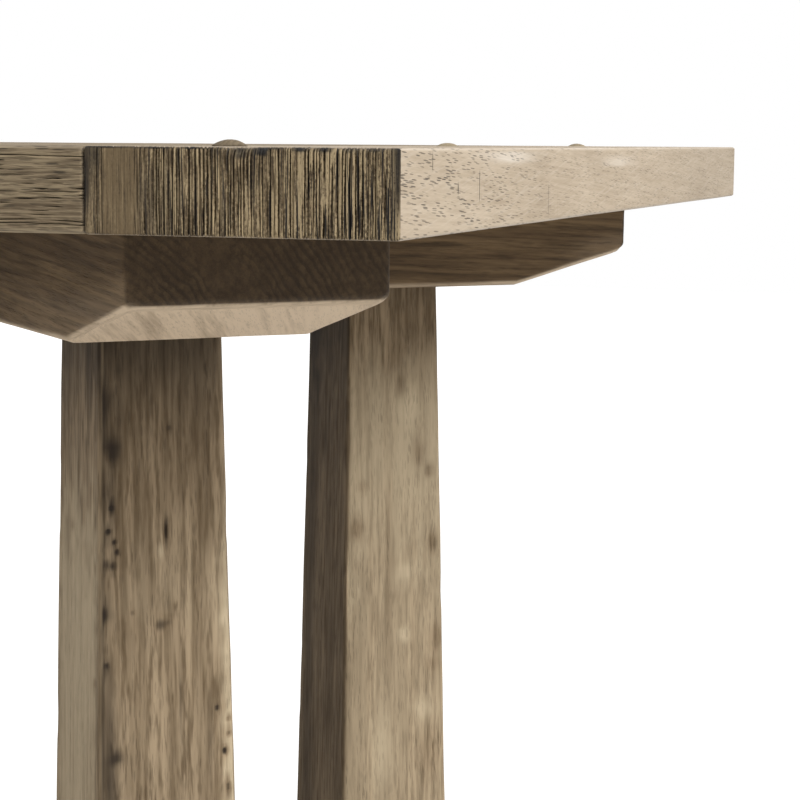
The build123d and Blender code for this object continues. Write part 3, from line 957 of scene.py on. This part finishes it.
# %% Bearers
def make_bearer(node, turn_z, seed, pith, foot):
    """foot is where along it the lower half of the bearer turns paler, near the legs."""
    marks = [side * (BEVEL_START + off * MM) for side in (-1, 1) for off in (-0.8, 0, 0.8)]
    blank = sawn_blank(node, BEARER_HALF, ruled(BEARER_HALF[0], 170, marks),
                       ruled(BEARER_HALF[1], 64), ruled(BEARER_HALF[2], 26))
    start, normal = weather(blank, BEARER_HALF, seed, bearer_arris, uneven=0.16, chips=0.08,
                            end_rough=0.2)
    places = places_of(blank)
    places[:, 2] = bevelled(start[:, 0], places[:, 2])
    move_to(blank, places)
    under = step(-normal[:, 2], 0.5, 0.9)
    bevel = under * step(np.abs(start[:, 0]), BEVEL_START - 0.001, BEVEL_START + 0.001)
    cut_end = step(normal[:, 0] ** 2, 0.3, 0.7)
    pale_foot = step(np.abs(start[:, 0]), *foot) * step(-start[:, 2], -0.004, 0.012)
    # The pale line on the lower arrises towards the ends is a painted highlight.
    arris = window(normal[:, 1] ** 2, 0.2, 0.8, 0.15) * (normal[:, 2] < 0) * step(
        np.abs(start[:, 0]), 0.22, 0.25)
    arris = arris * (1 - step(normal[:, 0] ** 2, 0.04, 0.15))
    keep(blank, "stain_and_painted_light", 0.3 * cut_end - np.maximum(0.85 * bevel, 0.7 * arris) - 0.2 * under
         - 0.24 * pale_foot * normal[:, 1] ** 2)
    fade_wear(blank, step(-normal[:, 2], 0.15, 0.5))
    place = Matrix.Translation((0, 0, BEARER_MIDDLE_Z)) @ Matrix.Rotation(turn_z, 4, "Z")
    place_timber(blank, node, place, pith, bearer_oak, -0.05, level=lay_flat)


make_bearer("bearer_lower", -math.pi / 4, 41, (-0.13, -0.08), (0.14, 0.25))
make_bearer("bearer_upper", math.pi / 4, 42, (0.06, 0.09), (0.27, 0.31))

# %% [markdown]
# ## Legs
# Each leg is square, stands on a bearer's line and widens towards the floor. Old nail and
# worm holes, a short split and dark water stains mark the two legs that show, and shade
# under the bearers and the top is painted on their upper ends.

# %% A leg
LEG_HALF = (0.268, 0.035, 0.035)
LEG_FOOT_Z, SHOULDER_Z = 0.004, 0.488
SHOULDER_HALF, FOOT_HALF = 25.5 * MM, 35 * MM
LEG_OUT = 0.142
SHARP_MARK = 12    # mm: only marks less tall than this get lines of their own to be cut in
FACES = {"+y": (1, 1), "-y": (1, -1), "+z": (2, 1), "-z": (2, -1), "arris": (1, 1)}


def make_leg(node, out_x, out_y, seed, pith, marks):
    """The blank's x runs up, and its y points away from the table's middle."""
    levels = [(up + share * tall) * MM - LEG_HALF[0] - LEG_FOOT_Z
              for spots in marks.values() for up, _, tall, *_ in spots if tall < SHARP_MARK
              for share in (-1, -0.4, 0.4, 1)]
    blank = sawn_blank(node, LEG_HALF, ruled(LEG_HALF[0], 110, levels),
                       ruled(LEG_HALF[1], 64), ruled(LEG_HALF[2], 64))
    start = places_of(blank)
    height = start[:, 0] + LEG_HALF[0] + LEG_FOOT_Z
    width = FOOT_HALF + (SHOULDER_HALF - FOOT_HALF) * (height - LEG_FOOT_Z) / (
        SHOULDER_Z - LEG_FOOT_Z)
    scale = width / FOOT_HALF
    start, normal = weather(blank, LEG_HALF, seed, lambda p: 2.8 / scale, uneven=0.3, chips=0.3)
    places = places_of(blank)
    places[:, 1:] *= scale[:, None]
    stain_and_painted_light, dip = np.zeros(len(start)), np.zeros(len(start))
    for face, spots in marks.items():
        axis, side = FACES[face]
        beside = places[:, 3 - axis]
        on_face = step(normal[:, axis] * side, 0.6, 0.9)
        if face == "arris":
            on_face = step(-2 * normal[:, 1] * normal[:, 2], 0.5, 0.9)
        ragged = 1 + 0.5 * noise(height / 0.006, beside / 0.003, seed=seed + 9)
        for up, across, tall, broad, dark, *deep in spots:
            off = ((height - up * MM) / (tall * MM)) ** 2 + (
                (beside - across * MM) / (broad * MM)) ** 2
            stain_and_painted_light = stain_and_painted_light + np.exp(-off * ragged) * on_face * dark
            dip = dip + np.exp(-off) * on_face * sum(deep) * MM
    places = places - normal * dip[:, None]
    move_to(blank, places)
    keep(blank, "stain_and_painted_light", np.clip(stain_and_painted_light, -1, 1))
    fade_wear(blank, 0.12)
    up, out = np.array((0, 0, 1.0)), np.array((out_x, out_y, 0)) / math.sqrt(2)
    side = np.cross(up, out)
    middle = (out_x * LEG_OUT, out_y * LEG_OUT, LEG_FOOT_Z + LEG_HALF[0])
    place = Matrix([[*row] for row in zip(up, out, side, middle)] + [[0, 0, 0, 1]])
    place_timber(blank, node, place, pith, leg_oak)


# %% Marks of the two legs that show
# By face: height, place across, half height and half width in mm, darkness, which is below
# 0 where the oak is bleached, and depth in mm, or none where the mark is only a stain.
# The wide dark bands at the top of the faces, at 488 to 492 mm, are painted shade under the
# bearers and the top.
FRONT_RIGHT_MARKS = {
    "-z": ((300, 0, 900, 200, -0.62), (492, 0, 54, 200, 1.2), (400, -12, 70, 6, 0.12),
           (300, -25, 120, 5, 0.2), (445, 12, 60, 4, 0.2), (330, 28, 240, 6, 0.5),
           (420, -30, 90, 8, 0.3), (400, 4, 40, 5, 0.14), (390, 0, 50, 200, -0.12),
           (414, 6, 5, 2.0, 0.35), (350, 22, 2.0, 2.0, 0.4, 0.2)),
    "arris": ((350, 0, 190, 200, 0.24),),
    "+y": ((322, 0, 48, 200, 0.08), (385, 6, 45, 200, -0.36), (400, 27.5, 200, 3.6, -0.45),
           (300, 0, 900, 200, 0.13), (490, -2, 34, 200, 0.55), (442, -20.5, 4.4, 3.0, 0.5, 0.4),
           (420, -22, 40, 4.2, 0.34), (300, -24.5, 120, 3.8, 0.55), (420, -22, 1.2, 0.9, 0.8, 0.8),
           (411, -23.5, 1.2, 0.9, 0.9, 0.8), (406.5, -21, 1.3, 0.9, 0.85, 0.8),
           (402.5, -19.8, 1.4, 1.1, 0.85, 0.9), (397, -21.6, 2.2, 1.4, 0.7, 0.8),
           (398, -24.5, 2.4, 1.6, 0.5, 0.4), (378, -25.5, 3.4, 0.9, 0.5, 0.3),
           (358, -25, 1.6, 1.2, 0.6, 0.4), (370, -17, 5, 2.2, 0.3), (379, 4.2, 1.6, 1.0, 0.5, 0.3),
           (320.5, -21, 2.4, 2.8, 0.45), (345, 5.5, 24, 0.9, 0.42, 0.2),
           (372, 13, 38, 1.1, 0.32, 0.1), (330, 18, 22, 1.8, 0.3), (425, 17, 16, 1.6, 0.26),
           (409, 0.5, 6.5, 0.9, 1.2, 1.6), (372, -2.6, 2.6, 3.4, 0.8, 0.2),
           (373, 1, 1.8, 1.8, 0.4, 0.1), (378, -14, 1.2, 0.8, 0.7, 0.6),
           (366, -14, 9, 1.8, 0.38, 0.1), (340, 33, 130, 2.6, -0.5), (300, 27, 70, 5.5, -0.6),
           (336, 21, 1.4, 1.0, 1.2, 0.5), (331, 26, 1.2, 1.0, 1.2, 0.4),
           (325, 26, 1.3, 0.9, 1.5, 0.5), (318, 24, 1.8, 1.2, 1.7, 0.5),
           (303, 25.5, 2.4, 1.4, 1.5, 0.4), (450, 2, 1.4, 1.0, 0.5, 0.3),
           (402, -2.4, 3, 1.4, -0.4))}
# Its bands at 488 mm on both faces are painted shade under the bearers and the top.
BACK_RIGHT_MARKS = {
    "-y": ((300, 0, 900, 200, 0.38), (330, 17, 900, 7, 0.2), (488, 0, 60, 200, 0.4)),
    "-z": ((300, 0, 900, 200, -0.36), (405, 0, 55, 200, -0.3), (488, 0, 30, 200, 0.62),
           (400, 14, 8, 3.4, 0.4, 0.1), (352, 22, 5, 2.6, 0.5, 0.1), (330, -28, 14, 4, -0.3, 1.2),
           (425, 9, 8, 7, -0.35), (337, 7, 5, 6, -0.3), (304, 5, 4, 4, -0.35),
           (262, 17, 6, 6, -0.35), (245, -9, 20, 7, -0.25), (390, 20, 4, 2.4, 0.42, 0.2),
           (362, -22, 5, 4, 0.5, 0.2), (384, -19, 3, 3, 0.3, 0.1), (435, 3, 7, 3, 0.32),
           (452, 0, 9, 5, 0.3), (286, 22, 4, 4, 0.36, 0.1), (236, 20, 16, 7, 0.3),
           (360, -4, 60, 2.2, 0.22), (300, 24, 6, 3.4, 0.5, 0.1))}

# %% Four legs
# The two legs on the left carry the same few worm holes.
SCATTERED = {face: [(40 + 37 * n, -18 + (n * 23) % 37, 2.2, 1.5, 0.9, 0.5) for n in numbers]
             for face, numbers in (("+y", (0, 4, 8)), ("-z", (1, 5)), ("+z", (2, 7)),
                                   ("-y", (3, 6, 9)))}
make_leg("leg_front_right", 1, -1, 51, (0.06, 0.05), FRONT_RIGHT_MARKS)
make_leg("leg_back_right", 1, 1, 52, (-0.05, 0.07), BACK_RIGHT_MARKS)
make_leg("leg_front_left", -1, -1, 53, (0.05, -0.06), SCATTERED)
make_leg("leg_back_left", -1, 1, 54, (-0.06, -0.05), SCATTERED)

# %% [markdown]
# ## Pegs
# Six pegs pin the breadboards to the long tenons. Each was driven through and left with a
# low dome that stands a little proud. One turned peg is shaped and then copied.

# %% A turned peg
def pairs(kind, rows=("front", "back")):
    """The names of a kind of node, left and right in each row."""
    return [f"{kind}_{row}_{side}" for row in rows for side in ("left", "right")]


PEG_NODES = pairs("peg", ("front", "middle", "back"))
PEG_RADIUS, DOME_RISE, PEG_SIDES = 5.95 * MM, 2.0 * MM, 48
DOME_RINGS = (1.0, 0.9, 0.78, 0.64, 0.48, 0.3, 0.12)


def dome_height(share):
    """Height of a low round dome at a share of its radius."""
    return DOME_RISE * (1 - share ** 2)


def turned_peg(length):
    pick_nothing()
    bpy.context.tool_settings.mesh_select_mode = (False, False, True)
    bpy.ops.mesh.primitive_cylinder_add(vertices=PEG_SIDES, radius=PEG_RADIUS,
                                        depth=length - DOME_RISE)
    peg = bpy.context.object
    top = max(peg.data.polygons, key=lambda face: face.center.z * (face.normal.z > 0.9))
    for face in peg.data.polygons:
        face.select = face == top
    bpy.ops.object.mode_set(mode="EDIT")
    for outer, inner in zip(DOME_RINGS, DOME_RINGS[1:]):
        bpy.ops.mesh.inset(thickness=(outer - inner) * PEG_RADIUS,
                           depth=dome_height(inner) - dome_height(outer))
    bpy.ops.mesh.select_all(action="SELECT")
    bpy.ops.mesh.normals_make_consistent(inside=False)
    bpy.ops.object.mode_set(mode="OBJECT")
    return peg


# %% Six pegs
# The middle and back ones are more worn down and paler than the front ones.
WORN_DOWN = 0.8 * MM
pattern_peg = turned_peg(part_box(PEG_NODES[0])[1].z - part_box(PEG_NODES[0])[0].z)
for number, node in enumerate(PEG_NODES):
    low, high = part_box(node)
    pick(pattern_peg)
    bpy.ops.object.duplicate()
    peg = bpy.context.object
    peg.name = node + "_dome"
    places = places_of(peg)
    x, y, z = places.T
    dome = step(z, z.max() - DOME_RISE - 0.2 * MM, z.max() - DOME_RISE)
    wear = 0.5 + 0.5 * noise(x / 0.003, y / 0.003, number * 3.3, seed=61)
    places[:, 2] -= 0.35 * MM * dome * wear
    far = 0.0 if "front" in node else 1.0
    keep(peg, "grain", np.column_stack([z + 0.1 * number, x + 0.004, y + 0.003]))
    keep(peg, "end_grain", dome)
    rim = step(np.hypot(x, y), 0.75 * PEG_RADIUS, PEG_RADIUS)
    keep(peg, "stain_and_painted_light", (0.35 - 0.3 * far) * rim * dome - 0.7 * far * dome)
    keep(peg, "worn", 0.5 * dome * wear)
    top_z = high.z - 0.05 * MM - WORN_DOWN * far
    move_to(peg, places + [*((low + high) / 2)[:2], top_z - places[:, 2].max()])
    bpy.ops.object.shade_smooth_by_angle(angle=SMOOTH_BELOW)
    stand_for(peg, node, peg_oak)
bpy.data.objects.remove(pattern_peg)
print("pegs:", len(PEG_NODES), "faces each:", len(peg.data.polygons))

# %% [markdown]
# ## Hidden joinery, screws and glides
# Loose tongues, wedges, screws, washers and glides keep their CAD shape, because it is the
# real one. They only need finishes: clean new oak inside the joints, zinc plate with fine
# turning marks on the steel, and dark moulded nylon under the feet.


# %% Steel and nylon
def fitting(name, colour, darker, metallic, rough, marks, depth):
    """marks is how many tool marks a metre has along each axis, and depth is in mm."""
    material, tree, shader = new_material(name)
    place = add_node(tree, "TexCoord", output="Object")
    cloud = place.noise(160, 160, 160, 3, 0.6)
    mark = place.noise(*marks, 2, 0.5)
    for socket, value in (
            ("Base Color", blend(colour, darker, cloud.between(0.35, 0.75))),
            ("Roughness", rough + mark * 0.2),
            ("Normal", mark.node("Bump", None, {
                "Height": mark, "Strength": 0.3, "Distance": depth * MM}))):
        tree.links.new(value.socket, shader.inputs[socket])
    shader.inputs["Metallic"].default_value = metallic
    return material


zinc_steel = fitting("zinc_steel", tone(186, 188, 190), tone(150, 152, 154), 1.0, 0.28,
                     (300, 300, 4200), 0.05)
dark_nylon = fitting("dark_nylon", tone(66, 60, 54), tone(48, 44, 40), 0.0, 0.5,
                     (2600, 2600, 2600), 0.04)

# %% Finishing the CAD nodes that stay
FITTINGS = {
    inner_oak: [f"loose_tongue_{n}" for n in (1, 2, 3, 4)] + pairs("wedge"),
    zinc_steel: ["top_screws", "top_washers", "lap_screws", "glide_screws"],
    dark_nylon: pairs("glide")}
for material, nodes in FITTINGS.items():
    for node in nodes:
        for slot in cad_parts[node].material_slots:
            slot.material = material
    print(material.name, "on", len(nodes), "nodes")
